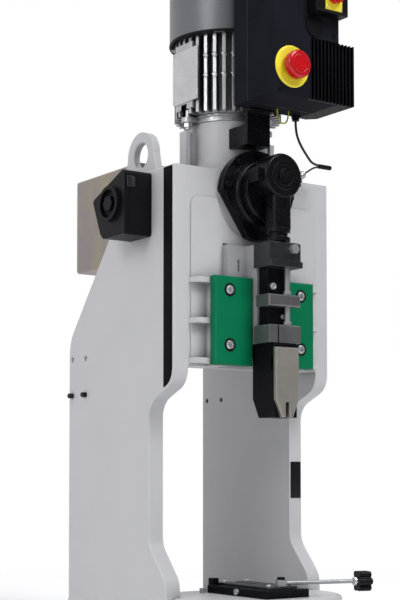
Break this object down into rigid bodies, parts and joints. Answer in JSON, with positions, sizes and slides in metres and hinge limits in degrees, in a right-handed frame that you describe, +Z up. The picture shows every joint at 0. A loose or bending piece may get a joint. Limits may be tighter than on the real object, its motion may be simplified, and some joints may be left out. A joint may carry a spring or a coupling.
{
  "type": "terminal crimping machine",
  "caption": "Bench-top terminal crimping press with portal frame, motor-driven eccentric, guided ram, control box and quick tool clamp.",
  "frame": {"origin": "on the floor, in the middle of the base", "axes": "+Z up; the working side with the ram faces -Y; +X to the operator's right"},
  "size_m": [0.349, 0.487, 1.017],
  "materials": {
    "light_paint": "satin",
    "black_steel": "satin",
    "black_plastic": "matte",
    "box_grey": "matte",
    "green_paint": "satin",
    "bright_steel": "brushed",
    "ground_steel": "brushed",
    "zinc_steel": "satin",
    "passivated_zinc": "satin",
    "cast_aluminium": "satin",
    "grey_paint": "satin",
    "stop_red": "gloss",
    "stop_yellow": "matte",
    "gasket_red": "matte",
    "cable_rubber": "matte",
    "earth_green": "satin",
    "bronze": "satin"
  },
  "bodies": {
    "frame": {"base_plate": "light_paint", "bearing_flange": "black_steel", "black_screws": "black_steel", "blind_plug": "black_plastic", "box_bracket": "black_steel", "cabinet_lid": "passivated_zinc", "cable_fittings": "black_plastic", "clamp_plate": "black_steel", "clamp_top_plate": "bright_steel", "control_box_cover": "box_grey", "control_box_rear": "box_grey", "control_cable": "cable_rubber", "dowel_pins": "zinc_steel", "earth_wire": "earth_green", "fan_cover": "grey_paint", "frame_screws": "zinc_steel", "gear_unit": "cast_aluminium", "gib_adjusters": "zinc_steel", "head_casting": "light_paint", "heat_sink": "black_steel", "left_cheek": "light_paint", "left_gib_plate": "green_paint", "lifting_lug": "light_paint", "motor_flange": "cast_aluminium", "motor_plate": "zinc_steel", "rear_cabinet": "passivated_zinc", "rear_shield": "cast_aluminium", "right_cheek": "light_paint", "right_gib_plate": "green_paint", "sensor": "zinc_steel", "sensor_bracket": "black_steel", "sensor_lead": "cable_rubber", "shaft_bearing": "bright_steel", "side_cover": "black_plastic", "side_gasket": "gasket_red", "side_housing": "black_plastic", "stator_core": "ground_steel", "stator_housing": "cast_aluminium", "stop_disc": "stop_yellow", "switch_housing": "black_plastic", "switch_plate": "stop_yellow", "zinc_screws": "zinc_steel"},
    "motor_rotor": {"rotor": "ground_steel", "fan": "black_plastic"},
    "crank": {"eccentric_shaft": "black_steel"},
    "ram": {"ram_slide": "ground_steel", "rod_clamp_block": "ground_steel", "middle_ledge": "ground_steel", "lower_clamp": "ground_steel", "tool_carrier": "black_steel", "tool_holder": "black_steel", "tool_plate": "bright_steel", "ram_screws": "bright_steel", "connecting_rod": "black_steel"},
    "emergency_stop": {"stop_button": "stop_red"},
    "main_switch": {"switch_handle": "stop_red"},
    "clamp_handle": {"clamp_lever": "bright_steel", "star_knob": "black_plastic"},
    "upper_side_latch": {"front_latch": "bright_steel"},
    "lower_side_latch": {"rear_latch": "bright_steel"}
  },
  "joints": [
    {"name": "motor_spin", "type": "hinge", "parent": "frame", "child": "motor_rotor", "pos_m": [0, -0.025, 0.85], "axis": [0, 0, 1], "range_deg": [0, 1800]},
    {"name": "crank_spin", "type": "hinge", "parent": "frame", "child": "crank", "pos_m": [0, -0.126, 0.657], "axis": [0, 1, 0], "range_deg": [0, 180]},
    {"name": "ram_stroke", "type": "slide", "parent": "frame", "child": "ram", "axis": [0, 0, 1], "range_m": [-0.04, 0]},
    {"name": "stop_push", "type": "slide", "parent": "frame", "child": "emergency_stop", "axis": [0, 1, 0], "range_m": [0, 0.005]},
    {"name": "switch_turn", "type": "hinge", "parent": "frame", "child": "main_switch", "pos_m": [0.034, -0.24, 0.929], "axis": [0, 1, 0], "range_deg": [0, 90]},
    {"name": "clamp_swing", "type": "hinge", "parent": "frame", "child": "clamp_handle", "pos_m": [0.003, -0.15, 0.087], "axis": [0, 0, 1], "range_deg": [-70, 0]},
    {"name": "upper_latch_swing", "type": "hinge", "parent": "frame", "child": "upper_side_latch", "pos_m": [-0.1755, -0.0333, 0.669], "axis": [0, 0, 1], "range_deg": [0, 60]},
    {"name": "lower_latch_swing", "type": "hinge", "parent": "frame", "child": "lower_side_latch", "pos_m": [-0.1755, 0.04449, 0.61707], "axis": [0, -0.4555, -0.8902], "range_deg": [0, 60]}
  ],
  "couplings": [
    {"joint": "crank_spin", "follows": "motor_spin", "ratio": 0.1},
    {"joint": "ram_stroke", "follows": "motor_spin", "m_per_rad": -0.0012732}
  ]
}
